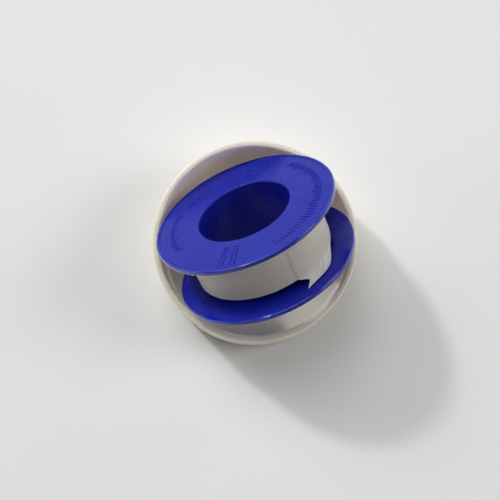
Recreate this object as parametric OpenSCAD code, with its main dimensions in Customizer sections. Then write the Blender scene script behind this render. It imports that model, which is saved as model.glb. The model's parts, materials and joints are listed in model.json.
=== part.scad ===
// Roll of thread-seal tape on a two-flange spool, leaning in its open slip-on cover.
// Millimetres. The cover stands on the plane z = 0, with its axis on +Z.
// The spool has a frame of its own: its axis is local +Z, and local +X points to its lowest edge.

/* [Tape] */
// Width of the tape
tape_w = 12; // [9:0.5:16]
// Thickness of the film
film_t = 0.1; // [0.075:0.005:0.12]
// Length of tape wound on the hub
tape_len = 5100; // [3000:100:6500]
// Space between the lower flange and the tape's lower edge
tape_low_space = 2; // [1.6:0.1:2.6]
// Space between the tape's upper edge and the upper flange
tape_high_space = 1.6; // [1:0.1:2.6]
// Thickness that the last turn is drawn with, so that it can be made as a solid
turn_t = 0.25; // [0.2:0.01:0.3]

/* [Loose end] */
// Angle on the spool at which the tape's end edge lies
end_angle = -170; // [-178:1:-160]
// Sweep of the last turn, short of a full turn
turn_sweep = 352; // [330:1:354]
// Angle from the end edge to the far side of the notch torn in the film
notch_at = 10.5; // [9:0.5:15]
// Angle from the end edge to the place where the lower edge leaves the roll
flare_at = 50; // [46:1:80]
// How far the loose lower edge spreads over the flange
flare_spread = 2.8; // [1.5:0.05:3.2]
// How much further the torn tip reaches
tip_reach = 1.1; // [0.3:0.05:1.2]
// Angle by which the torn tip trails back towards the end edge
tip_back = 9.5; // [4:0.5:10]

/* [Spool] */
// Diameter of both flanges
flange_d = 50; // [47:0.5:60]
// Thickness of a flange at its rim bead
flange_t = 1.25; // [1:0.05:1.6]
// Width of the bead round a flange's outer face
bead_w = 0.9; // [0.6:0.1:1.5]
// Height of that bead over the face
bead_h = 0.15; // [0.1:0.01:0.25]
// Rounding of the flange's edge
edge_r = 0.3; // [0.2:0.01:0.45]
// Diameter of the bore through the hub
bore_d = 25.4; // [22:0.2:28]
// Wall of the hub tube
hub_wall = 1.2; // [1.1:0.05:1.8]
// Wall of the upper half's collar, which plugs into the hub tube
collar_wall = 0.5; // [0.4:0.05:0.6]
// Length of that collar
collar_len = 2.4; // [2:0.1:4]

/* [Cover] */
// Radial room between the flange and the cover
cover_room = 1.25; // [0.9:0.05:2]
// Room over a spool that lies flat in the cover
cover_headroom = 0.8; // [0.4:0.1:2]
// Wall of the cover
cover_wall = 1.75; // [1.3:0.05:2.4]
// Floor of the cover
cover_floor = 1.2; // [1:0.1:2]
// Rounding of the cover's lower outside edge
cover_foot_r = 1.4; // [1:0.1:2]
// Draft of the wall from rim to foot
cover_draft = 0.25; // [0.1:0.05:0.4]

/* [Resting place] */
// Lean of the spool's axis from upright
lean = 49; // [44:0.5:54]
// Direction that the spool's axis leans to, counted from +X
lean_way = 117.5; // [90:0.5:150]
// Gap left where the spool bears on the cover
rest_gap = 0.3; // [0.2:0.05:0.4]

/* [Hidden] */

blue = [0.12, 0.14, 0.6];
cream = [0.87, 0.85, 0.77];
white = [0.92, 0.91, 0.88];

// Spool
flange_r = flange_d / 2;
bore_r = bore_d / 2;
hub_r = bore_r + hub_wall;
spool_w = 2 * flange_t + tape_low_space + tape_w + tape_high_space;
upper_face = spool_w - flange_t;
collar_r = bore_r + collar_wall;
socket_gap = 0.05;
snap_r = 0.2;
bore_round = 0.35;
root_fillet = 0.5;

// Tape: the wound length and its thickness give the roll's radius
core_gap = 0.1;
core_bore_r = hub_r + core_gap;
tape_r = sqrt(core_bore_r * core_bore_r + tape_len * film_t / PI);
under_turn = 0.06;
core_r = tape_r - 2 * turn_t - under_turn;
tape_low = flange_t + tape_low_space;
tape_high = tape_low + tape_w;

// Last turn: clearance over the lower flange, and how finely it is drawn
sweep_gap = 0.25;
column_step = 4;
skirt_rows = 6;
flare_reach = tape_low - (flange_t + sweep_gap + turn_t / 2);
notch_step = 0.6;
tip_width = 8;
hem_share = 0.5;
hem_least = 0.1;
full_slip = 8;
full_drop = 16;
drop_lag = 19;
skirt_curl = 1.4;
trail_curl = 1.25;

// Cover
cover_in_r = flange_r + cover_room;
cover_out_r = cover_in_r + cover_wall;
cover_h = cover_floor + spool_w + cover_headroom;
rim_r = 0.5;
floor_fillet = 1;

// Resting place: the spool goes down into the cover until its lowest edge is on the floor, or
// until the rim holds both flanges. The rim's plane cuts each flange along a chord, and the
// lower flange's chord meets the rim at both ends.
full_depth = cover_h - cover_floor - rest_gap;
rim_reach = cover_in_r - rest_gap;
chord_pitch = spool_w / sin(lean);

// Half the chord of a flange whose lowest edge is this far under the rim
function half_chord(depth) =
    let (along = max(0, depth) / sin(lean)) sqrt(max(0, flange_r * flange_r - pow(flange_r - along, 2)));
// How far from the cover's axis that chord can lie
function chord_room(depth) = sqrt(rim_reach * rim_reach - pow(half_chord(depth), 2));
// Whether both flanges find room in the rim at this depth of the lower one
function goes_in(depth) = chord_room(depth) + chord_room(depth - spool_w * cos(lean)) >= chord_pitch;
// The greatest depth between two that goes in, by halving
function deepest(low, high, steps) =
    let (middle = (low + high) / 2)
        steps == 0 ? low
        : goes_in(middle) ? deepest(middle, high, steps - 1)
        : deepest(low, middle, steps - 1);

rest_depth = goes_in(full_depth) ? full_depth : deepest(0, full_depth, 24);
low_out = rest_depth / tan(lean) - chord_room(rest_depth);
centre_out = low_out - flange_r * cos(lean);
centre_z = cover_h - rest_depth + flange_r * sin(lean);

module at_spool() {
    translate([centre_out * cos(lean_way), centre_out * sin(lean_way), centre_z])
        rotate([0, lean, lean_way])
            children();
}

// Half section of a flange, outer face down, with its rounded edge and its rim bead
module flange_section() {
    difference() {
        union() {
            translate([bore_r, 0]) square([flange_r - edge_r - bore_r, flange_t]);
            translate([flange_r - edge_r - 0.01, edge_r]) square([edge_r + 0.01, flange_t - 2 * edge_r]);
            translate([flange_r - edge_r, edge_r]) circle(r = edge_r, $fn = 32);
            translate([flange_r - edge_r, flange_t - edge_r]) circle(r = edge_r, $fn = 32);
        }
        square([flange_r - bead_w, bead_h]);
        bore_rounding();
    }
}

// What is taken off the bore's edge at the outer face
module bore_rounding() {
    difference() {
        translate([bore_r - 0.01, bead_h - 0.01]) square(bore_round + 0.01);
        translate([bore_r + bore_round, bead_h + bore_round]) circle(r = bore_round, $fn = 32);
    }
}

// Small fillet between the hub and a flange's inner face
module root_section() {
    difference() {
        translate([hub_r - 0.01, flange_t - 0.01]) square(root_fillet + 0.01);
        translate([hub_r + root_fillet, flange_t + root_fillet]) circle(r = root_fillet, $fn = 32);
    }
}

// Lower flange and the hub tube, whose upper end is a socket for the other half
module spool_lower_half() {
    socket_r = collar_r + socket_gap;
    socket_low = upper_face - collar_len;
    color(blue) at_spool() rotate_extrude($fn = 180) {
        difference() {
            union() {
                flange_section();
                root_section();
                translate([bore_r, flange_t / 2]) square([hub_wall, upper_face - flange_t / 2]);
            }
            translate([bore_r - 1, socket_low]) square([socket_r - bore_r + 1, collar_len + 1]);
            translate([socket_r, socket_low + collar_len / 2]) circle(r = snap_r, $fn = 24);
        }
    }
}

// Upper flange and the collar that snaps into the hub tube
module spool_upper_half() {
    color(blue) at_spool() translate([0, 0, spool_w]) mirror([0, 0, 1]) rotate_extrude($fn = 180) {
        flange_section();
        translate([bore_r, flange_t / 2]) square([collar_wall, flange_t / 2 + collar_len - socket_gap]);
        translate([collar_r, flange_t + collar_len / 2]) circle(r = snap_r - socket_gap, $fn = 24);
    }
}

// Wound tape under the last turn
module tape_winding() {
    color(white) at_spool() translate([0, 0, tape_low]) difference() {
        cylinder(r = core_r, h = tape_w, $fn = 180);
        translate([0, 0, -1]) cylinder(r = core_bore_r, h = tape_w + 2, $fn = 180);
    }
}

// Smooth step from 0 to 1 as x goes from a to b
function ease(a, b, x) = let (t = min(1, max(0, (x - a) / (b - a)))) t * t * (3 - 2 * t);

// Along the last turn, a is the angle from the end edge, 0 at the end and turn_sweep at the start.
// How far the lower edge has slipped out of the roll, from 0 to 1
function slip(a) = 1 - ease(notch_at + full_slip, flare_at, a);
// How far the edge has come down to the flange: it drops sooner than it spreads
function drop(a) = 1 - ease(notch_at + full_drop, flare_at + drop_lag, a);
// Share of the skirt that is left: torn away between the end edge and the notch's far side
function kept(a) = a < notch_at ? hem_share * (hem_least + (1 - hem_least) * a / notch_at) : 1;
// How far the edge spreads, with the torn tip reaching further
function spread(a) =
    flare_spread * slip(a) + tip_reach * pow(max(0, 1 - max(0, a - notch_at) / tip_width), 2);
function skirt_len(a) = norm([flare_spread * slip(a), flare_reach * drop(a)]);
// The film climbs by its own thickness over the turn
function turn_r(a) = core_r + under_turn + turn_t / 2 + turn_t * (1 - a / turn_sweep);
// The torn tip trails back towards the end edge, v being the share of the way down the skirt
function trail(a, v) =
    tip_back * pow(v, trail_curl)
    * (a < notch_at ? pow(a / notch_at, 2) : max(0, 1 - (a - notch_at) / (2 * tip_width)));

// Columns of the strip: fine at the notch, even elsewhere
columns = concat(
    [0, notch_at / 4, notch_at / 2, notch_at * 3 / 4, notch_at - notch_step / 2],
    [for (k = [0 : 5]) notch_at + notch_step / 2 + k * tip_width / 6],
    [for (a = [notch_at + tip_width + column_step / 2 : column_step : turn_sweep - column_step / 2]) a],
    [turn_sweep]);
last_row = skirt_rows + 2;

// Middle of the film at column angle a and row k: its upper edge, half way, the roll's lower edge,
// then the skirt, as [radius, angle, height]
function film(a, k) =
    k == 0 ? [turn_r(a), a, tape_high - skirt_len(a)]
    : k == 1 ? [turn_r(a), a, (tape_high + tape_low) / 2]
    : let (v = (k - 2) / skirt_rows * kept(a))
        [turn_r(a) + spread(a) * pow(v, skirt_curl), a - trail(a, v),
            tape_low - flare_reach * drop(a) * sin(90 * v)];

// Direction across the film in the plane of the axis, from its slope between neighbouring rows
function across(a, k) =
    k < 2 ? [1, 0]
    : let (p = film(a, max(k - 1, 1)), q = film(a, min(k + 1, last_row)),
           d = [q[0] - p[0], q[2] - p[2]])
        norm(d) < 0.02 ? [1, 0] : [-d[1], d[0]] / norm(d);

function place(a, k, side) =
    let (m = film(a, k), n = across(a, k), r = m[0] + side * turn_t / 2 * n[0], w = end_angle + m[1])
        [r * cos(w), r * sin(w), m[2] + side * turn_t / 2 * n[1]];

// The last turn: one unbroken strip, as two skins joined along the edges
module tape_last_turn() {
    rows = last_row + 1;
    n = len(columns);
    skin = n * rows;
    points = [for (side = [1, -1]) for (a = columns) for (k = [0 : last_row]) place(a, k, side)];
    quads = concat(
        [for (i = [0 : n - 2]) for (k = [0 : last_row - 1])
            [i * rows + k, i * rows + k + 1, (i + 1) * rows + k + 1, (i + 1) * rows + k]],
        [for (i = [0 : n - 2]) for (k = [0 : last_row - 1])
            [skin + i * rows + k, skin + (i + 1) * rows + k, skin + (i + 1) * rows + k + 1, skin + i * rows + k + 1]],
        [for (k = [0 : last_row - 1]) [k, skin + k, skin + k + 1, k + 1]],
        [for (k = [0 : last_row - 1]) let (s = (n - 1) * rows)
            [s + k, s + k + 1, skin + s + k + 1, skin + s + k]],
        [for (i = [0 : n - 2]) [i * rows, (i + 1) * rows, skin + (i + 1) * rows, skin + i * rows]],
        [for (i = [0 : n - 2]) let (k = last_row)
            [i * rows + k, skin + i * rows + k, skin + (i + 1) * rows + k, (i + 1) * rows + k]]);
    faces = [for (q = quads) each [[q[0], q[1], q[2]], [q[0], q[2], q[3]]]];
    color(white) at_spool() polyhedron(points = points, faces = faces, convexity = 6);
}

// Least gap of the last turn to itself, between places that lie a third of a turn or more apart
self_gap = min([for (a = columns) if (a < flare_at) for (b = columns) if (b - a > 360 / 3)
    for (k = [0, 1, 2, last_row]) for (j = [0, 1, 2, last_row]) norm(place(a, k, 1) - place(b, j, 1))]) - turn_t;
echo(least_gap_of_the_last_turn_to_itself = self_gap);

// Slip-on cover: a shallow cup with a rounded rim and foot
module cover() {
    foot_out_r = cover_out_r - cover_draft;
    foot_in_r = cover_in_r - cover_draft;
    color(cream) rotate_extrude($fn = 180) {
        difference() {
            union() {
                polygon([[0, 0], [foot_out_r - cover_foot_r, 0], [foot_out_r - cover_foot_r, cover_foot_r],
                    [foot_out_r, cover_foot_r], [cover_out_r, cover_h - rim_r], [cover_out_r - rim_r, cover_h - rim_r],
                    [cover_out_r - rim_r, cover_h], [0, cover_h]]);
                translate([foot_out_r - cover_foot_r, cover_foot_r]) circle(r = cover_foot_r, $fn = 48);
                translate([cover_out_r - rim_r, cover_h - rim_r]) circle(r = rim_r, $fn = 32);
            }
            polygon([[-1, cover_floor], [foot_in_r - floor_fillet, cover_floor],
                [foot_in_r - floor_fillet, cover_floor + floor_fillet], [foot_in_r, cover_floor + floor_fillet],
                [cover_in_r, cover_h], [cover_in_r, cover_h + 1], [-1, cover_h + 1]]);
            translate([foot_in_r - floor_fillet, cover_floor + floor_fillet]) circle(r = floor_fillet, $fn = 32);
            rim_rounding();
        }
    }
}

// What is taken off the rim's inner edge
module rim_rounding() {
    difference() {
        translate([cover_in_r - 0.01, cover_h - rim_r]) square(rim_r + 0.01);
        translate([cover_in_r + rim_r, cover_h - rim_r]) circle(r = rim_r, $fn = 32);
    }
}

cover();
spool_lower_half();
spool_upper_half();
tape_winding();
tape_last_turn();
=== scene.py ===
"""Roll of thread-seal tape on its spool, leaning in the slip-on cover: looks, stage and camera.

Everything is in metres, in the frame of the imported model. The cover stands on the plane z = 0.
The spool has polar places of its own: a radius and an angle about its axis, and a height from
the outer face of its lower flange. Angle 0 points to the spool's lowest edge.
"""

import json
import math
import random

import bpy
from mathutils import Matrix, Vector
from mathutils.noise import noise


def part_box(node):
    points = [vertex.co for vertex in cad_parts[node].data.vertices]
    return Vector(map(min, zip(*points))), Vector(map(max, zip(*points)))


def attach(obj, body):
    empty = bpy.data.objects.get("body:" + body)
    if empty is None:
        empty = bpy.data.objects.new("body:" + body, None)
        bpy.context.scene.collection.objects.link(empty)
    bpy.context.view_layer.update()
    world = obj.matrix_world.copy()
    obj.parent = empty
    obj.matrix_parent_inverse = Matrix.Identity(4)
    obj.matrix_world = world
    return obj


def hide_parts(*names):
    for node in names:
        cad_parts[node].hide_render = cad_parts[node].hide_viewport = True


bl_info = {
    "name": "Thread-seal tape roll",
    "version": (1, 0, 0),
    "blender": (4, 5, 0),
    "location": "View3D > Sidebar > Tape Roll",
    "description": "Dresses a leaning roll of thread-seal tape: spool, film, cover and studio",
    "category": "Object",
}

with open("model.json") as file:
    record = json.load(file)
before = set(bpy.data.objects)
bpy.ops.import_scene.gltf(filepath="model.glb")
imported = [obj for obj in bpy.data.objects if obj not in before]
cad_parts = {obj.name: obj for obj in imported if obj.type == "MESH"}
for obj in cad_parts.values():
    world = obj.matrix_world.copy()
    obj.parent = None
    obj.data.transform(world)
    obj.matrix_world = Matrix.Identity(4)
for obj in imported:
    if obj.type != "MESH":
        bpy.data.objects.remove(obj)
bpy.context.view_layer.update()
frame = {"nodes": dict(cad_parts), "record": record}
MM = 0.001
ROLL_NODE = "tape_winding"
TURN_NODE = "tape_last_turn"

# The spool's axis, its lowest and sideways directions, and the turn of these three
BORE = next(m for m in frame["record"]["mounts"] if m["name"] == "spool_bore")
AXIS = Vector(BORE["axis"]).normalized()
MIDDLE = Vector(BORE["pos_m"])
DOWN = (AXIS * AXIS.z - Vector((0, 0, 1))).normalized()
SIDE = AXIS.cross(DOWN)
SPOOL_TURN = Matrix((DOWN, SIDE, AXIS)).transposed().to_euler()


def reach(node):
    """Lowest and highest place of a CAD node along the spool's axis, and its least and greatest radius."""
    heights, radii = [], []
    for vertex in frame["nodes"][node].data.vertices:
        arm = vertex.co - MIDDLE
        height = arm.dot(AXIS)
        heights.append(height)
        radii.append((arm - AXIS * height).length)
    return min(heights), max(heights), min(radii), max(radii)


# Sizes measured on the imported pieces
SPOOL_LOW, _, BORE_R, FLANGE_R = reach("spool_lower_half")
SPOOL_HIGH = reach("spool_upper_half")[1]
ROLL_LOW, ROLL_HIGH, ROLL_IN_R, ROLL_OUT_R = reach(ROLL_NODE)
ORIGIN = MIDDLE + AXIS * SPOOL_LOW
SPOOL_W = SPOOL_HIGH - SPOOL_LOW
TAPE_LOW = ROLL_LOW - SPOOL_LOW
TAPE_HIGH = ROLL_HIGH - SPOOL_LOW
COVER_LOW, COVER_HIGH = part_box("cover")
# Thickness of the cover's wall, and the radius of its inner side at the lip
WALL_T = 1.75 * MM
LIP_R = COVER_HIGH.x - WALL_T


def at_spool(radius, degrees, height):
    """The point at a polar place on the spool."""
    turn = math.radians(degrees)
    return ORIGIN + (DOWN * math.cos(turn) + SIDE * math.sin(turn)) * radius + AXIS * height


def ease(start, end, x):
    """Smooth step from 0 to 1 as x goes from start to end."""
    t = min(1.0, max(0.0, (x - start) / (end - start)))
    return t * t * (3 - 2 * t)


def waver(size, *place):
    """Smooth unevenness of up to about size either way, at a place in a field of noise.

    A number that stands alone in a place only picks a part of the field.
    """
    return size * noise(Vector(place))


def length(name, description, default_mm, least_mm=0.0, most_mm=400.0):
    """A length property that is given in millimetres."""
    return bpy.props.FloatProperty(
        name=name, description=description, default=default_mm * MM, min=least_mm * MM,
        max=most_mm * MM, unit="LENGTH", subtype="DISTANCE", precision=5)


def angle(name, description, degrees):
    """An angle property that is given in degrees."""
    return bpy.props.FloatProperty(
        name=name, description=description, default=math.radians(degrees), subtype="ANGLE")


def share(name, description, default):
    """A property from 0 to 1."""
    return bpy.props.FloatProperty(
        name=name, description=description, default=default, min=0, max=1, subtype="FACTOR")


def tint(name, description, default):
    """A colour property."""
    return bpy.props.FloatVectorProperty(
        name=name, description=description, default=default, size=3, min=0, max=1, subtype="COLOR")


def point(name, description, default_mm):
    """A property for a place in the frame of the model, given in millimetres."""
    return bpy.props.FloatVectorProperty(
        name=name, description=description, default=[c * MM for c in default_mm], size=3,
        unit="LENGTH", subtype="XYZ", precision=5)


def power(name, description, default):
    """A property for the power of lights, in watts."""
    return bpy.props.FloatProperty(
        name=name, description=description, default=default, min=0, unit="POWER")


class SpoolSettings(bpy.types.PropertyGroup):
    """Finish of the two spool halves, and the raised marks on the upper flange."""

    blue: tint("Blue", "Colour of the spool's plastic", (0.008, 0.017, 0.36))
    deep_blue: tint("Deep blue", "Darker clouds in the spool's plastic", (0.008, 0.014, 0.325))
    # The bore's blue is darker than the spool's: painted shade in the hollow bore
    bore_shade_blue: tint("Bore blue", "Colour of the bore's drawn surface", (0.007, 0.011, 0.27))
    rubbed: tint("Rubbed", "Colour of rubbed edges and scuffs", (0.07, 0.085, 0.45))
    dust: tint("Dust", "Colour of dust and of the thin flash on the edge", (0.6, 0.63, 0.78))
    roughness: share("Roughness", "Roughness of the satin moulding", 0.28)
    bead_h: length("Bead height", "How far a flange's outer face lies under its rim bead", 0.15)
    mark_h: length("Mark height", "How far the raised marks stand over the face", 0.18)
    mark_w: length("Mark width", "Width of a raised tick or of a dot in the ring", 0.46)
    mark_pitch: angle("Mark pitch", "Angle between two raised ticks", 3.05)


class FilmSettings(bpy.types.PropertyGroup):
    """The film: its thickness, its loose end and its colour."""

    film_t: length("Film thickness", "Thickness of one ply", 0.1, 0.05, 0.3)
    pitch: length("Ply pitch", "Radial distance between two plies", 0.105, 0.05, 0.4)
    plies: bpy.props.IntProperty(
        name="Outer plies", description="Turns of film drawn one by one outside the roll",
        default=5, min=2, max=5)
    end_angle: angle("End angle", "Angle on the spool of the film's end edge", -170)
    flare_spread: length("Flare", "How far the loose lower edge spreads over the flange", 2.8)
    tip_reach: length("Tip", "How much further the torn tip reaches", 0.6)
    flange_space: length("Flange space", "Height of the roll's lower edge over the lower flange", 2.0)
    flange_room: length("Flange room", "Height of the loose edge's middle over the lower flange", 0.375)
    white: tint("White", "Colour of the film", (0.68, 0.63, 0.535))
    shade: tint("Shade", "Colour of the film's denser places", (0.64, 0.59, 0.5))
    # The loose ply's colour is paler and bluer than the roll's: partly its own thinness, partly painted
    # light for the upturned skirt catching light and the blue flange showing through it
    thin: tint("Thin", "Colour of the single loose ply", (0.70, 0.685, 0.635))
    fleck: tint("Fleck", "Colour of a speck of dirt in the film", (0.2, 0.18, 0.16))
    ply_line: tint("Ply line", "Colour between the plies on the roll's sides", (0.5, 0.48, 0.44))


class CoverSettings(bpy.types.PropertyGroup):
    """Finish of the cover."""

    cream: tint("Cream", "Colour of the cover's plastic", (0.755, 0.705, 0.565))
    cloud: tint("Cloud", "Slightly darker colour that clouds the cover", (0.725, 0.67, 0.535))
    # The inside colour is painted light: paler and less yellow than the outside, it stands in for blue light
    # bounced off the spool and for light glowing through the wall
    inside: tint("Inside", "Colour of the cover's inside, which has yellowed less", (0.85, 0.79, 0.70))
    dirt: tint("Dirt", "Colour of the specks in the cover", (0.32, 0.29, 0.25))
    roughness: share("Roughness", "Roughness of the cover", 0.4)
    glow: length("Glow", "How far light spreads inside the cover's wall", 3.4)


class StageSettings(bpy.types.PropertyGroup):
    """Camera, lights and floor."""

    eye: point("Eye", "Place of the camera", (-1.628, -47.164, 282.51))
    aim: point("Aim", "Point that the camera looks at", (-1.386, -1.255, 10))
    picture_top: bpy.props.FloatVectorProperty(
        name="Picture top", description="Direction that points up in the picture", size=3,
        subtype="DIRECTION", default=(0.0154, 1.0, 0.0))
    lens: bpy.props.FloatProperty(
        name="Lens", description="Focal length for a 36 mm sensor", default=70.23, min=20, max=200,
        unit="CAMERA")
    light_power: power("Lights", "Power that each light takes its share of", 43.5)
    horizon: tint("Horizon", "Colour of the pale studio wall all round", (0.66, 0.66, 0.66))
    ceiling: tint("Ceiling", "Colour of the dim studio over the roll", (0.07, 0.07, 0.07))
    floor: tint("Floor", "Colour of the floor", (0.88, 0.88, 0.88))


class Nodes:
    """A node tree under construction."""

    def __init__(self, tree):
        self.tree = tree

    def put(self, node, socket, value):
        """Links a socket of a node to value, or sets it."""
        target = node.inputs[socket]
        if isinstance(value, bpy.types.NodeSocket):
            self.tree.links.new(value, target)
        elif target.type == "RGBA":
            target.default_value = (*value[:3], 1.0)
        else:
            target.default_value = value

    def add(self, kind, inputs, out=0, **settings):
        """Adds a node, fills its inputs and gives one of its outputs."""
        node = self.tree.nodes.new(kind)
        for key, value in settings.items():
            setattr(node, key, value)
        for socket, value in inputs.items():
            self.put(node, socket, value)
        return node.outputs[out]

    def coordinates(self, place):
        """The x, y and z of a place."""
        parts = self.tree.nodes.new("ShaderNodeSeparateXYZ")
        self.put(parts, 0, place)
        return tuple(parts.outputs)

    def span(self, value, low, high, to_low=0.0, to_high=1.0):
        """Carries value smoothly from low..high to to_low..to_high, and holds it beyond."""
        return self.add("ShaderNodeMapRange", {
            "Value": value, "From Min": low, "From Max": high, "To Min": to_low, "To Max": to_high},
            interpolation_type="SMOOTHSTEP")

    def mix(self, factor, first, second):
        """Goes from the first colour to the second as factor goes from 0 to 1."""
        # The node's colours are its inputs 6 and 7 and its output 2
        return self.add("ShaderNodeMix", {0: factor, 6: first, 7: second}, out=2, data_type="RGBA")


class Shader(Nodes):
    """A new material with one surface shader, and the patterns that feed it."""

    def __init__(self, name):
        self.material = bpy.data.materials.new(name)
        self.material.use_nodes = True
        super().__init__(self.material.node_tree)
        self.surface = next(n for n in self.tree.nodes if n.type == "BSDF_PRINCIPLED")

    def math(self, operation, *values):
        """The result of a calculation."""
        return self.add("ShaderNodeMath", dict(enumerate(values)), operation=operation)

    def times(self, first, second):
        """The product of two values."""
        return self.math("MULTIPLY", first, second)

    def plus(self, first, second):
        """The sum of two values."""
        return self.math("ADD", first, second)

    def off_axis(self, x, y):
        """Distance from the z axis of a point at x and y."""
        return self.math("SQRT", self.plus(self.times(x, x), self.times(y, y)))

    def noise(self, place, scale, detail=2.0, roughness=0.5):
        """Cloudy noise around 0.5, with scale features a metre."""
        return self.add("ShaderNodeTexNoise", {
            "Vector": place, "Scale": scale, "Detail": detail, "Roughness": roughness})

    def specks(self, place, scale, size, rarity):
        """Sparse soft round specks: 1 inside a speck. size is in cells, and rarity thins them out."""
        cell = self.add("ShaderNodeTexVoronoi", {"Vector": place, "Scale": scale}, feature="F1")
        dots = self.span(cell, size * 0.6, size, 1.0, 0.0)
        chosen = self.span(self.noise(place, scale * 0.6, detail=0.0), rarity, rarity + 0.04)
        return self.times(dots, chosen)

    def row_place(self):
        """Place of the shaded point in the frame of the model."""
        return self.add("ShaderNodeTexCoord", {}, out="Object")

    def spool_place(self):
        """Place of the shaded point on the spool: its vector, radius, angle and height."""
        local = self.add("ShaderNodeMapping", {
            "Vector": self.row_place(), "Location": ORIGIN, "Rotation": SPOOL_TURN},
            vector_type="TEXTURE")
        x, y, height = self.coordinates(local)
        return local, self.off_axis(x, y), self.math("ARCTAN2", y, x), height

    def round_place(self, turn, detail, along, stretch):
        """A place for noise: round a circle of radius detail by turn, and along times stretch high."""
        return self.add("ShaderNodeCombineXYZ", {
            0: self.times(self.math("COSINE", turn), detail),
            1: self.times(self.math("SINE", turn), detail),
            2: self.times(along, stretch)})

    def distance(self, place, centre):
        """Distance of a place from a fixed point."""
        return self.add("ShaderNodeVectorMath", {0: place, 1: centre}, out="Value", operation="DISTANCE")

    def bump(self, height, strength, distance, normal=None):
        """Roughens the surface by a height, over a normal that may be bumped already."""
        inputs = {"Height": height, "Strength": strength, "Distance": distance}
        if normal is not None:
            inputs["Normal"] = normal
        return self.add("ShaderNodeBump", inputs)

    def finish(self, sockets):
        """Fills the surface shader's sockets and gives the material."""
        for socket, value in sockets.items():
            self.put(self.surface, socket, value)
        return self.material


# Finishes of the flange's rim: how far in from its edge each begins, and how far in it is full
RUBBED_RIM = (0.5 * MM, 0.1 * MM)
SMOOTH_RIM = (1.3 * MM, 1.0 * MM)
GLOSSY_EDGE = (0.45 * MM, 0.3 * MM)
BEAD_STEP = (1.2 * MM, 0.9 * MM)
# Distances out from the bore's radius between which its own finish and its painted shade fade out
BORE_FINISH_AND_SHADE = (0.1 * MM, 0.3 * MM)
# Distances in from the spool's end between which a flange's outer face begins to count as such
OUTER_FACE = (0.6 * MM, 0.4 * MM)
# The most that shows of the rubbed colour and of the dust
RUBBED_MOST, DUST_MOST = 0.2, 0.4
# What the clouds take from the roughness and add to it, what the flow lines and the bore's streaks
# add, and what the bead takes
CLOUD_ROUGH = (-0.03, 0.05)
FLOW_ROUGH, STREAK_ROUGH, BEAD_ROUGH = 0.012, 0.06, -0.15


def blue_plastic():
    """Satin blue moulding: flow clouds, rubbed rims, drawn streaks and painted shade in the bore, fine grain
    and dust.
    """
    spool = bpy.context.scene.tape_spool
    m = Shader("blue_plastic")
    place, radius, turn, height = m.spool_place()

    def rim(finish):
        """How much of a rim's finish shows at the shaded point."""
        start, full = finish
        return m.span(radius, FLANGE_R - start, FLANGE_R - full)

    in_bore = m.span(radius, BORE_R + BORE_FINISH_AND_SHADE[0], BORE_R + BORE_FINISH_AND_SHADE[1], 1.0, 0.0)
    from_middle = m.math("ABSOLUTE", m.plus(height, -SPOOL_W / 2))
    outer_face = m.span(from_middle, SPOOL_W / 2 - OUTER_FACE[0], SPOOL_W / 2 - OUTER_FACE[1])

    # Colour: two close blues in clouds, chafed rims, dust, and a darker blue in the bore that is painted
    # shade
    clouds = m.noise(place, scale=120.0, detail=3.0)
    chafe = m.span(m.noise(place, scale=700.0, detail=4.0, roughness=0.7), 0.5, 0.7)
    dust = m.noise(place, scale=1100.0, detail=3.0, roughness=0.6)
    colour = m.mix(m.span(clouds, 0.35, 0.7), spool.blue, spool.deep_blue)
    colour = m.mix(m.times(m.times(rim(RUBBED_RIM), chafe), RUBBED_MOST), colour, spool.rubbed)
    colour = m.mix(m.span(dust, 0.7, 0.8, 0.0, DUST_MOST), colour, spool.dust)
    # Painted shade: the bore gets the darker blue
    colour = m.mix(in_bore, colour, spool.bore_shade_blue)

    # Roughness: it follows the clouds, the flow lines and the bore's streaks, and is low on the bead
    flow = m.noise(m.round_place(turn, 9.0, radius, 60.0), scale=1.0, detail=4.0, roughness=0.65)
    streaks = m.noise(m.round_place(turn, 16.0, height, 30.0), scale=1.0, detail=4.0, roughness=0.7)
    rough = m.span(clouds, 0.3, 0.75, spool.roughness + CLOUD_ROUGH[0], spool.roughness + CLOUD_ROUGH[1])
    rough = m.plus(rough, m.span(flow, 0.45, 0.75, 0.0, FLOW_ROUGH))
    rough = m.plus(rough, m.times(m.span(streaks, 0.45, 0.75), m.times(in_bore, STREAK_ROUGH)))
    rough = m.plus(rough, m.times(rim(SMOOTH_RIM), BEAD_ROUGH))

    # Relief: the soft step up to the bead, uneven cooling, fine grain, and the bore's streaks
    step = m.times(rim(BEAD_STEP), outer_face)
    normal = m.bump(step, strength=0.8, distance=0.2 * MM)
    normal = m.bump(m.noise(place, scale=85.0, detail=1.0), 0.25, 0.1 * MM, normal)
    normal = m.bump(m.noise(place, scale=1800.0), 0.05, 0.01 * MM, normal)
    normal = m.bump(m.times(streaks, in_bore), 0.15, 0.04 * MM, normal)
    return m.finish({
        "Base Color": colour, "Roughness": rough, "Normal": normal, "IOR": 1.5,
        "Specular IOR Level": 0.21, "Coat Weight": rim(GLOSSY_EDGE), "Coat Roughness": 0.06,
        "Coat IOR": 1.5})


def flash_plastic():
    """Thin stretched plastic of the flash on the flange's edge, much paler than the spool."""
    spool = bpy.context.scene.tape_spool
    m = Shader("flash_plastic")
    pale = m.span(m.noise(m.row_place(), scale=2500.0), 0.25, 0.5)
    return m.finish({
        "Base Color": m.mix(pale, spool.rubbed, spool.dust),
        "Roughness": m.span(pale, 0, 1, 0.3, 0.45)})


# A speck of dirt in the film: radius, angle and height. Its colour fades out between two distances.
FLECK = (19.45 * MM, 156.5, 11.1 * MM)
FLECK_FADE = (0.06 * MM, 0.2 * MM)
# The most that shows of the fleck's colour, and of the lines between the plies
FLECK_MOST, PLY_LINE_MOST = 0.8, 0.7
# Heights about the roll's lower edge between which the film goes from the loose ply's colour, partly painted
# light, to the roll's
LOOSE_PLY = (-0.5 * MM, 0.3 * MM)


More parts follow.
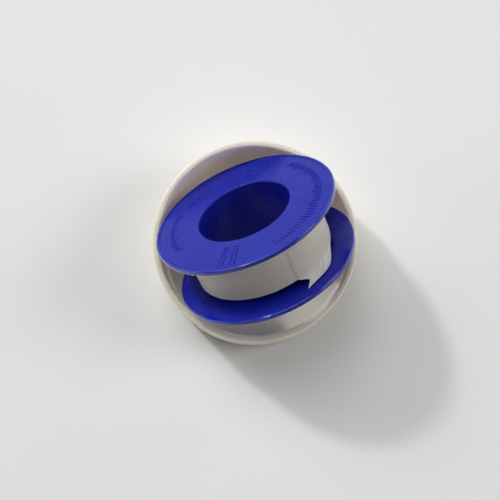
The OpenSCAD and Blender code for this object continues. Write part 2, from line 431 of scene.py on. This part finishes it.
def film_shader(name, layered):
    """Soft white film with faint streaks along the winding and a loose ply whose paler colour is partly
    painted light, or with ply lines where layered.
    """
    film = bpy.context.scene.tape_film
    m = Shader(name)
    place, radius, turn, height = m.spool_place()
    clouds = m.noise(place, scale=230.0, detail=3.0)
    colour = m.mix(m.span(clouds, 0.3, 0.75), film.white, film.shade)
    if layered:
        grooves = m.noise(m.round_place(turn, 0.6, radius, 9000.0), scale=1.0)
        colour = m.mix(m.span(grooves, 0.4, 0.75, 0.0, PLY_LINE_MOST), colour, film.ply_line)
    else:
        grooves = m.noise(m.round_place(turn, 1.3, height, 1000.0), scale=1.0, detail=4.0, roughness=0.6)
        # Below the roll's lower edge the film gets the loose ply's colour: its own thinness and painted
        # light
        loose = m.span(height, TAPE_LOW + LOOSE_PLY[0], TAPE_LOW + LOOSE_PLY[1], 1.0, 0.0)
        colour = m.mix(loose, colour, film.thin)
        fleck = m.span(m.distance(m.row_place(), at_spool(*FLECK)), *FLECK_FADE, FLECK_MOST, 0.0)
        colour = m.mix(fleck, colour, film.fleck)
    wrinkles = m.noise(place, scale=620.0, detail=3.0, roughness=0.6)
    normal = m.bump(grooves, strength=0.4, distance=0.03 * MM)
    normal = m.bump(wrinkles, 0.3, 0.03 * MM, normal)
    return m.finish({
        "Base Color": colour, "Roughness": m.span(grooves, 0.3, 0.7, 0.46, 0.6), "Normal": normal,
        "IOR": 1.36, "Subsurface Weight": 0.2, "Subsurface Scale": 0.4 * MM,
        "Subsurface Radius": (1.0, 0.95, 0.85), "Sheen Weight": 0.06, "Sheen Roughness": 0.5})


# Radii about the lip between which the cover goes from its inside colour, which is painted bounce light, to
# its outside colour
PAINTED_BOUNCE_EDGE = (-0.1 * MM, 0.15 * MM)
# The most that shows of the specks' colour, and what the rubbed places take from the roughness and add
DIRT_MOST = 0.45
RUB_ROUGH = (-0.05, 0.12)


def cream_plastic():
    """Milky cream moulding that glows a little: clouds, fine grain, rubbed places, a few specks, and painted
    bounce light on the inside.
    """
    cover = bpy.context.scene.tape_cover
    m = Shader("cream_plastic")
    place = m.row_place()
    x, y, _ = m.coordinates(place)
    # Inside the lip the colour turns paler and less yellow: painted bounce light from the blue spool and
    # from the glow through the wall
    inside = m.span(m.off_axis(x, y), LIP_R + PAINTED_BOUNCE_EDGE[0], LIP_R + PAINTED_BOUNCE_EDGE[1], 1.0, 0.0)
    clouds = m.noise(place, scale=70.0, detail=4.0)
    specks = m.specks(place, scale=300.0, size=0.06, rarity=0.6)
    colour = m.mix(m.span(clouds, 0.3, 0.7), cover.cream, cover.cloud)
    colour = m.mix(inside, colour, cover.inside)
    colour = m.mix(m.times(specks, DIRT_MOST), colour, cover.dirt)
    rubs = m.noise(place, scale=260.0, detail=5.0, roughness=0.7)
    rough = m.span(rubs, 0.35, 0.7, cover.roughness + RUB_ROUGH[0], cover.roughness + RUB_ROUGH[1])
    normal = m.bump(m.noise(place, scale=60.0, detail=1.0), strength=0.25, distance=0.1 * MM)
    normal = m.bump(m.noise(place, scale=4200.0), 0.1, 0.012 * MM, normal)
    return m.finish({
        "Base Color": colour, "Roughness": rough, "Normal": normal, "IOR": 1.5,
        "Specular IOR Level": 0.4, "Subsurface Weight": 1.0, "Subsurface Scale": cover.glow,
        "Subsurface Radius": (1.0, 0.89, 1.06)})


# How much of the floor's colour is left in its mottle
MOTTLE = 0.985


def floor_paint():
    """Plain pale floor with a barely visible mottle."""
    stage = bpy.context.scene.tape_stage
    m = Shader("floor_paint")
    mottle = m.noise(m.row_place(), scale=12.0, detail=3.0)
    darker = [c * MOTTLE for c in stage.floor]
    colour = m.mix(m.span(mottle, 0.3, 0.7), stage.floor, darker)
    return m.finish({"Base Color": colour, "Roughness": 0.85, "Specular IOR Level": 0.1})


def dress(node, material):
    """Gives a CAD node one material in place of its plain one."""
    materials = frame["nodes"][node].data.materials
    materials.clear()
    materials.append(material)


def add_piece(name, points, faces, material, body, slot, crease):
    """Makes a smooth mesh piece that rides on a body. Edges sharper than crease, in degrees, stay crisp."""
    mesh = bpy.data.meshes.new(name)
    mesh.from_pydata(points, [], faces)
    mesh.validate()
    mesh.materials.append(material)
    mesh.shade_smooth()
    mesh.set_sharp_from_angle(angle=math.radians(crease))
    piece = bpy.data.objects.new(name, mesh)
    bpy.context.scene.collection.objects.link(piece)
    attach(piece, body)
    return piece


def join_shapes(shapes):
    """Puts several (points, faces) shapes into one."""
    points, faces = [], []
    for more, its_faces in shapes:
        base = len(points)
        points += more
        faces += [tuple(base + i for i in face) for face in its_faces]
    return points, faces


def tube_faces(rings, sides):
    """Faces of a closed tube through rings of points, capped at both ends."""
    faces = [tuple(reversed(range(sides)))]
    for ring in range(rings - 1):
        here, there = ring * sides, (ring + 1) * sides
        for k in range(sides):
            n = (k + 1) % sides
            faces.append((here + k, here + n, there + n, there + k))
    faces.append(tuple((rings - 1) * sides + k for k in range(sides)))
    return faces


class TAPE_ROLL_OT_finish_spool(bpy.types.Operator):
    """Gives the two moulded spool halves their blue plastic"""

    bl_idname = "tape_roll.finish_spool"
    bl_label = "Finish spool"

    def execute(self, context):
        material = blue_plastic()
        dress("spool_lower_half", material)
        dress("spool_upper_half", material)
        return {"FINISHED"}


# Arcs of ticks on the upper flange: first and last angle in degrees, inner and outer radius
TICK_ARCS = ((-176.0, -60.0, 18.7 * MM, 21.6 * MM), (50.0, 97.0, 18.9 * MM, 20.9 * MM),
             (22.0, 36.0, 18.4 * MM, 19.9 * MM))
# One tick in so many is long, and the others leave out a share of its length at the inner end
LONG_TICK_EVERY = 5
SHORT_TICK_SHARE = 0.3
# Rows of dots across the flange: their angles, the radii of their ends, and the dots' size in ticks' widths
DOT_ROWS = (142.6, 145.9, 151.4, 154.7)
DOT_ROW_REACH = (15.6 * MM, 22.4 * MM)
DOTS_IN_ROW = 8
ROW_DOT_SIZE = 1.5
# A ring of dots on the flange: angle and radius of its middle, its own radius, and its dots
RING_ANGLE, RING_AT_R, RING_R, RING_DOTS = -31.0, 19.0 * MM, 2.9 * MM, 14
# Levels of a raised mark, from its sunk foot to its top: share of its width, and share of its height
MARK_LEVELS = ((1.0, -0.4), (1.0, 0.35), (0.82, 0.85), (0.45, 1.0))
MARK_SIDES = 12


def raised_mark(radius, degrees, half_long, half_wide, top, face):
    """One raised mark: a low pad along the radius with round ends and a soft top edge."""
    straight = max(0.0, half_long - half_wide)
    points = []
    for width, rise in MARK_LEVELS:
        for k in range(MARK_SIDES):
            turn = 2 * math.pi * (k + 0.5) / MARK_SIDES
            out = math.copysign(straight, math.cos(turn)) + half_wide * width * math.cos(turn)
            across = half_wide * width * math.sin(turn)
            points.append(at_spool(radius + out, degrees + math.degrees(across / radius), face + top * rise))
    return points, tube_faces(len(MARK_LEVELS), MARK_SIDES)


def tick_places(pitch, half_wide):
    """Radius, angle, half length and half width of each tick."""
    for first, last, inner, outer in TICK_ARCS:
        count = round((last - first) / pitch)
        for k in range(count + 1):
            left_out = 0 if k % LONG_TICK_EVERY == 0 else SHORT_TICK_SHARE
            low = inner + (outer - inner) * left_out
            yield (low + outer) / 2, first + (last - first) * k / count, (outer - low) / 2, half_wide


def dot_places(half_wide):
    """Radius, angle, half length and half width of each dot."""
    low, high = DOT_ROW_REACH
    for degrees in DOT_ROWS:
        for k in range(DOTS_IN_ROW):
            half = half_wide * ROW_DOT_SIZE
            yield low + (high - low) * k / (DOTS_IN_ROW - 1), degrees, half, half
    for k in range(RING_DOTS):
        turn = 2 * math.pi * k / RING_DOTS
        radius = RING_AT_R + RING_R * math.cos(turn)
        yield radius, RING_ANGLE + math.degrees(RING_R * math.sin(turn) / radius), half_wide, half_wide


class TAPE_ROLL_OT_add_marks(bpy.types.Operator):
    """Raises plain ticks and dots on the upper flange"""

    bl_idname = "tape_roll.add_marks"
    bl_label = "Add raised marks"

    def execute(self, context):
        spool = context.scene.tape_spool
        half_wide = spool.mark_w / 2
        face = SPOOL_W - spool.bead_h
        places = [*tick_places(math.degrees(spool.mark_pitch), half_wide), *dot_places(half_wide)]
        shapes = [raised_mark(*place, spool.mark_h, face) for place in places]
        add_piece("flange_marks", *join_shapes(shapes), bpy.data.materials["blue_plastic"],
                  "spool", "spool_plastic", crease=60)
        return {"FINISHED"}


# Slivers on the upper flange's edge: angle in degrees, and length
NICKS = ((122.8, 0.45 * MM), (124.2, 0.3 * MM), (127.0, 0.8 * MM), (128.3, 0.35 * MM),
         (131.4, 0.55 * MM), (134.6, 0.3 * MM))
# How far under the outer face they hang, how deep their middles are sunk, and how thick and high they swell
NICK_UNDER, NICK_SUNK = 0.85 * MM, 0.06 * MM
NICK_THICK, NICK_LIFT = 0.1 * MM, 0.08 * MM
# Share of the swelling that their blunt ends leave out, and the rings and sides of each
NICK_BLUNT = 0.08
NICK_RINGS, NICK_SIDES = 7, 6


def sliver(degrees, long, chance):
    """One sliver of flash: a ragged spindle along the flange's edge."""
    points = []
    for i in range(NICK_RINGS):
        t = i / (NICK_RINGS - 1)
        swell = math.sin(math.pi * (NICK_BLUNT + (1 - 2 * NICK_BLUNT) * t))
        thick = NICK_THICK * swell * chance.uniform(0.75, 1.25)
        lift = NICK_LIFT * swell * chance.uniform(0.2, 1.6)
        along = degrees + math.degrees((2 * t - 1) * long / 2 / FLANGE_R)
        radius = FLANGE_R - NICK_SUNK + lift
        height = SPOOL_W - NICK_UNDER - lift
        for k in range(NICK_SIDES):
            turn = 2 * math.pi * k / NICK_SIDES
            points.append(at_spool(radius + thick * math.sin(turn), along, height + thick * math.cos(turn)))
    return points, tube_faces(NICK_RINGS, NICK_SIDES)


class TAPE_ROLL_OT_add_nicks(bpy.types.Operator):
    """Leaves a few slivers of moulding flash on the upper flange's edge"""

    bl_idname = "tape_roll.add_nicks"
    bl_label = "Add edge nicks"

    def execute(self, context):
        chance = random.Random(5)
        shapes = [sliver(degrees, long, chance) for degrees, long in NICKS]
        add_piece("flange_nicks", *join_shapes(shapes), flash_plastic(), "spool", "spool_plastic", crease=40)
        return {"FINISHED"}


# The roll under the outer plies: its turns, and the steps in each turn
ROLL_TURNS, TURN_STEPS = 24, 120
# Share of the pitch that the film fills, and share of its thickness that a bevelled corner takes
FILM_SHARE, CORNER_SHARE = 0.94, 0.3
# How far a turn may stand up from the roll's side, and how far the film wavers along it
TURN_LIFT, TURN_WAVER = 0.05 * MM, 0.04 * MM


def film_section(inner, outer, low, high, corner):
    """Radius and height of each corner of the wound film's section."""
    return ((inner, low + corner), (inner, high - corner), (inner + corner, high), (outer - corner, high),
            (outer, high - corner), (outer, low + corner), (outer - corner, low), (inner + corner, low))


class TAPE_ROLL_OT_wind_roll(bpy.types.Operator):
    """Winds the roll under the outer plies as one spiral of film"""

    bl_idname = "tape_roll.wind_roll"
    bl_label = "Wind roll"

    def execute(self, context):
        pitch = (ROLL_OUT_R - ROLL_IN_R) / (ROLL_TURNS + 1)
        thick = pitch * FILM_SHARE
        chance = random.Random(11)
        lifts = [TURN_LIFT * chance.uniform(-1, 1) for _ in range(ROLL_TURNS + 2)]
        rings = ROLL_TURNS * TURN_STEPS + 1
        points = []
        for ring in range(rings):
            turn = ring / TURN_STEPS
            whole = int(turn)
            lift = lifts[whole] + (lifts[whole + 1] - lifts[whole]) * ease(0, 1, turn - whole)
            lift += waver(TURN_WAVER, turn * 1.7, 4.2, turn * 0.3)
            inner = ROLL_IN_R + pitch * turn
            section = film_section(inner, inner + thick, TAPE_LOW + lift, TAPE_HIGH + lift,
                                   thick * CORNER_SHARE)
            points += [at_spool(radius, 360.0 * turn, height) for radius, height in section]
        piece = add_piece("tape_roll", points, tube_faces(rings, len(section)),
                          film_shader("film_layers", True), "tape", "tape_film", crease=60)
        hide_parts(ROLL_NODE)
        return {"FINISHED"}


# The loose end. Its angles are in degrees along the film from its end edge, where the outermost ply
# begins. The lower edge there is a skirt that spreads over the flange, with a torn notch and a tip.
# The notch's far side, the tip's width, and how far its lower end trails back towards the end edge
NOTCH_AT, TIP_WIDTH, TIP_BACK = 10.5, 8.0, 9.5
# Power of the depth with which the tip trails back
TRAIL_CURL = 1.25
# The lower edge has slipped out of the roll up to the first angle, and is in it from the second
SLIP_FROM, SLIP_TO = 18.5, 50.0
# It has come down to the flange up to the first angle, and is at the roll's height from the second
DROP_FROM, DROP_TO = 26.5, 69.0
# Share of the skirt's depth that is left at the notch, and the part of that share at the end edge
HEM_SHARE, HEM_LEAST = 0.5, 0.1
# How far the outer plies' outside lies over the roll's
ROOM_OVER_ROLL = 0.56 * MM
# Angle over which the film thins towards its end edge, and the share of its thickness that it loses
END_TAPER, END_THIN = 2.0, 0.9
# How far the end edge leads on the wall over the skirt, and the angle over which that fades out
END_LEADS, END_LEADS_OVER = 1.2, 3.0
# Unevenness of the film's edges, of its wrap and of the flare, then of the end edge in degrees, and
# of the torn hem as a share
EDGE_WAVER, WRAP_WAVER, FLARE_WAVER = 0.05 * MM, 0.03 * MM, 0.08 * MM
END_WAVER = 0.25
TEAR_WAVER = 0.12
# Small creases in the skirt: angle, width in degrees, height
CREASES = ((19.0, 0.9, 0.13 * MM), (22.0, 0.8, -0.12 * MM), (25.0, 0.9, 0.14 * MM),
           (29.5, 1.3, -0.1 * MM))
# How far a crease leans over the skirt's depth, and the share of its height that goes out and up alike
CREASE_SLANT = 13.0
CREASE_SHARE = 0.7
# Rows of points down the wall and on down the skirt
WALL_ROWS, SKIRT_ROWS = 16, 14
LAST_ROW = WALL_ROWS + SKIRT_ROWS
# Columns of points: up to the notch, half the width of its cut, through the skirt, and round the rest
END_COLUMNS, CUT_HALF = 16, 0.1
SKIRT_STEP, SKIRT_COLUMNS = 0.75, 80
WRAP_STEP = 2.5
# Points closer than this give no direction to the film's thickness
LEAST_RUN = 0.01 * MM


def slipped(along):
    """How far the lower edge has slipped out of the roll, from 0 to 1."""
    return 1 - ease(SLIP_FROM, SLIP_TO, along)


def dropped(along):
    """How far the loose edge has come down towards the flange, from 0 to 1."""
    return 1 - ease(DROP_FROM, DROP_TO, along)


def hem_kept(along):
    """Share of the skirt that is left: torn away between the end edge and the notch's far side."""
    if along >= NOTCH_AT:
        return 1.0
    tear = 1 + waver(TEAR_WAVER, along * 0.9, 2.1, 5.3)
    return HEM_SHARE * (HEM_LEAST + (1 - HEM_LEAST) * along / NOTCH_AT) * tear


def tip_trail(along):
    """How much of the torn tip's trailing back applies at an angle, from 0 to 1."""
    if along < NOTCH_AT:
        return (along / NOTCH_AT) ** 2
    return max(0.0, 1 - (along - NOTCH_AT) / (2 * TIP_WIDTH))


def creased(along, depth):
    """How far the creases push the skirt out and up, at a share of its depth."""
    lift = sum(rise * math.exp(-(((along - at + CREASE_SLANT * (depth - 0.5)) / width) ** 2))
               for at, width, rise in CREASES)
    return CREASE_SHARE * lift * math.sin(math.pi * depth)


def film_place(film, along, row):
    """Middle of the outer plies at an angle and a row, as radius, angle and height."""
    slip, drop = slipped(along), dropped(along)
    fall = film.flange_space - film.flange_room
    skirt = math.hypot(film.flare_spread * slip, fall * drop)
    edge = waver(EDGE_WAVER, along / 47, 7.3, 0)
    low, high = TAPE_LOW + edge, TAPE_HIGH + edge - skirt
    turn = math.radians(along)
    radius = ROLL_OUT_R + ROOM_OVER_ROLL - film.film_t / 2 - film.pitch * along / 360
    radius += waver(WRAP_WAVER, 3 * math.cos(turn), 3 * math.sin(turn), row / 5)
    if row <= WALL_ROWS:
        lead = END_LEADS - waver(END_WAVER, row / 2.5, 8.8, 1.2)
        lead *= max(0.0, 1 - along / END_LEADS_OVER)
        return radius, along - lead, high + (low - high) * row / WALL_ROWS
    depth = (row - WALL_ROWS) / SKIRT_ROWS * hem_kept(along)
    tip = max(0.0, 1 - max(0.0, along - NOTCH_AT) / TIP_WIDTH) ** 2
    out = (film.flare_spread * slip + film.tip_reach * tip) * depth
    out += slip * depth * waver(FLARE_WAVER, along / 6, 1.7, 0.4)
    crease = creased(along, depth)
    back = TIP_BACK * depth ** TRAIL_CURL * tip_trail(along)
    height = low - fall * drop * math.sin(math.pi / 2 * depth)
    return radius + out + crease, along - back, height + crease


def film_columns(plies):
    """Angles of the columns of points: close at the torn end and through the skirt, wide beyond."""
    columns = [NOTCH_AT * k / END_COLUMNS for k in range(END_COLUMNS)]
    columns += [NOTCH_AT - CUT_HALF, NOTCH_AT + CUT_HALF]
    columns += [NOTCH_AT + SKIRT_STEP * k for k in range(1, SKIRT_COLUMNS + 1)]
    while columns[-1] < 360 * plies:
        columns.append(columns[-1] + WRAP_STEP)
    return columns


def film_side(film, columns, side):
    """Points on one side of the outer plies, column by column. side is 1 outside and -1 inside."""
    points = []
    for along in columns:
        shift = side * film.film_t / 2
        if side > 0:
            shift -= film.film_t * END_THIN * (1 - ease(0, END_TAPER, along))
        for row in range(LAST_ROW + 1):
            before = film_place(film, along, max(row - 1, 0))
            after = film_place(film, along, min(row + 1, LAST_ROW))
            run, rise = after[0] - before[0], after[2] - before[2]
            size = math.hypot(run, rise)
            across, up = (1.0, 0.0) if size < LEAST_RUN else (-rise / size, run / size)
            radius, degrees, height = film_place(film, along, row)
            degrees += math.degrees(film.end_angle)
            points.append(at_spool(radius + shift * across, degrees, height + shift * up))
    return points


def film_faces(columns):
    """Faces of the film's two sides, then its two long edges and its two ends."""
    rows = LAST_ROW + 1
    inside = columns * rows
    faces = []
    for column in range(columns - 1):
        here, there = column * rows, (column + 1) * rows
        under_here, under_there = inside + here, inside + there
        for k in range(LAST_ROW):
            faces.append((here + k, here + k + 1, there + k + 1, there + k))
            faces.append((under_here + k, under_there + k, under_there + k + 1, under_here + k + 1))
        faces.append((here, there, under_there, under_here))
        faces.append((here + LAST_ROW, under_here + LAST_ROW, under_there + LAST_ROW, there + LAST_ROW))
    last = (columns - 1) * rows
    for k in range(LAST_ROW):
        faces.append((k, inside + k, inside + k + 1, k + 1))
        faces.append((last + k, last + k + 1, inside + last + k + 1, inside + last + k))
    return faces


class TAPE_ROLL_OT_add_loose_end(bpy.types.Operator):
    """Winds the outer plies and lets the torn end flare over the lower flange"""

    bl_idname = "tape_roll.add_loose_end"
    bl_label = "Add loose end"

    def execute(self, context):
        film = context.scene.tape_film
        columns = film_columns(film.plies)
        points = film_side(film, columns, 1) + film_side(film, columns, -1)
        piece = add_piece("tape_end", points, film_faces(len(columns)),
                          film_shader("film_white", False), "tape", "tape_film", crease=50)
        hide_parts(TURN_NODE)
        return {"FINISHED"}


class TAPE_ROLL_OT_finish_cover(bpy.types.Operator):
    """Gives the cover its cream plastic"""

    bl_idname = "tape_roll.finish_cover"
    bl_label = "Finish cover"

    def execute(self, context):
        dress("cover", cream_plastic())
        return {"FINISHED"}


# Each light: degrees round from +X, degrees up, width, and share of the power. All stand equally far.
LIGHTS = {
    "key": (134.5, 40.6, 0.15, 0.22),
    "top": (114.0, 62.0, 1.0, 0.23),
    "fill": (4.0, 34.0, 0.9, 0.26),
    "left": (180.0, 14.0, 0.8, 0.09),
    "far": (50.0, 14.0, 0.8, 0.05),
    "broad": (135.0, 33.0, 0.9, 0.14),
}
LIGHT_DISTANCE = 1.8
# Radius of the floor, and the sides of its edge
FLOOR_R, FLOOR_SIDES = 1.8, 128
# Heights on the unit sphere between which the studio goes from its pale wall to its dim ceiling
WALL_TOP, CEILING_FROM = 0.06, 0.26
# The camera's sensor width in millimetres, and the nearest and farthest that it sees
SENSOR_W = 36.0
SEES_FROM, SEES_TO = 0.01, 10.0


def soft_light(name, turn, rise, size, watts):
    """A round soft light that stands off the cover in a direction and faces it."""
    data = bpy.data.lights.new(name, "AREA")
    data.shape = "DISK"
    data.size = size
    data.energy = watts
    light = bpy.data.objects.new(name, data)
    turn, rise = math.radians(turn), math.radians(rise)
    way = Vector((math.cos(turn) * math.cos(rise), math.sin(turn) * math.cos(rise), math.sin(rise)))
    light.location = Vector((0, 0, COVER_HIGH.z)) + way * LIGHT_DISTANCE
    light.rotation_mode = "QUATERNION"
    light.rotation_quaternion = way.to_track_quat("Z", "Y")
    light.visible_camera = False
    return light


def studio_world(wall, ceiling):
    """The light from all round: a pale wall that fades into a dim ceiling."""
    world = bpy.data.worlds.new("studio")
    world.use_nodes = True
    m = Nodes(world.node_tree)
    place = m.add("ShaderNodeTexCoord", {}, out="Generated")
    _, _, rise = m.coordinates(place)
    colour = m.mix(m.span(rise, WALL_TOP, CEILING_FROM), wall, ceiling)
    sky = next(n for n in m.tree.nodes if n.type == "BACKGROUND")
    m.put(sky, "Color", colour)
    return world


def round_floor():
    """A flat round floor that the cover stands on."""
    edge = []
    for k in range(FLOOR_SIDES):
        turn = 2 * math.pi * k / FLOOR_SIDES
        edge.append((FLOOR_R * math.cos(turn), FLOOR_R * math.sin(turn), 0))
    mesh = bpy.data.meshes.new("floor")
    mesh.from_pydata(edge, [], [tuple(range(FLOOR_SIDES))])
    mesh.materials.append(floor_paint())
    floor = bpy.data.objects.new("floor", mesh)
    floor.location.z = COVER_LOW.z
    return floor


def stage_camera(eye, aim, top, lens):
    """A camera that looks from eye to aim, with top pointing up in its picture."""
    data = bpy.data.cameras.new("camera")
    data.lens = lens
    data.sensor_width = SENSOR_W
    data.clip_start, data.clip_end = SEES_FROM, SEES_TO
    camera = bpy.data.objects.new("camera", data)
    camera.location = eye
    camera.rotation_mode = "QUATERNION"
    back = (Vector(eye) - Vector(aim)).normalized()
    right = Vector(top).cross(back).normalized()
    camera.rotation_quaternion = Matrix((right, back.cross(right), back)).transposed().to_quaternion()
    return camera


class TAPE_ROLL_OT_set_stage(bpy.types.Operator):
    """Makes the floor, the soft lights and the camera"""

    bl_idname = "tape_roll.set_stage"
    bl_label = "Set stage"

    def execute(self, context):
        scene = context.scene
        stage = scene.tape_stage
        floor = round_floor()
        scene.collection.objects.link(floor)
        for name, (turn, rise, size, part) in LIGHTS.items():
            light = soft_light(name + "_light", turn, rise, size, stage.light_power * part)
            scene.collection.objects.link(light)
        scene.world = studio_world(stage.horizon, stage.ceiling)
        scene.view_settings.view_transform = "Standard"
        camera = stage_camera(stage.eye, stage.aim, stage.picture_top, stage.lens)
        scene.collection.objects.link(camera)
        scene.camera = camera
        return {"FINISHED"}


OPERATORS = (
    TAPE_ROLL_OT_finish_spool, TAPE_ROLL_OT_add_marks, TAPE_ROLL_OT_add_nicks, TAPE_ROLL_OT_wind_roll,
    TAPE_ROLL_OT_add_loose_end, TAPE_ROLL_OT_finish_cover, TAPE_ROLL_OT_set_stage)
SETTINGS = {
    "tape_spool": SpoolSettings, "tape_film": FilmSettings, "tape_cover": CoverSettings,
    "tape_stage": StageSettings}


class TAPE_ROLL_PT_panel(bpy.types.Panel):
    """Lists the steps that dress the tape roll"""

    bl_idname = "TAPE_ROLL_PT_panel"
    bl_label = "Tape Roll"
    bl_space_type = "VIEW_3D"
    bl_region_type = "UI"
    bl_category = "Tape Roll"

    def draw(self, context):
        for operator in OPERATORS:
            self.layout.operator(operator.bl_idname)


def register():
    for group in SETTINGS.values():
        bpy.utils.register_class(group)
    for name, group in SETTINGS.items():
        setattr(bpy.types.Scene, name, bpy.props.PointerProperty(type=group))
    for operator in OPERATORS:
        bpy.utils.register_class(operator)
    bpy.utils.register_class(TAPE_ROLL_PT_panel)


def unregister():
    bpy.utils.unregister_class(TAPE_ROLL_PT_panel)
    for operator in reversed(OPERATORS):
        bpy.utils.unregister_class(operator)
    for name in SETTINGS:
        delattr(bpy.types.Scene, name)
    for group in SETTINGS.values():
        bpy.utils.unregister_class(group)


def main():
    """Registers the classes, and makes every piece and the stage in order."""
    register()
    for operator in OPERATORS:
        group, name = operator.bl_idname.split(".")
        getattr(getattr(bpy.ops, group), name)()


if __name__ == "__main__":
    main()
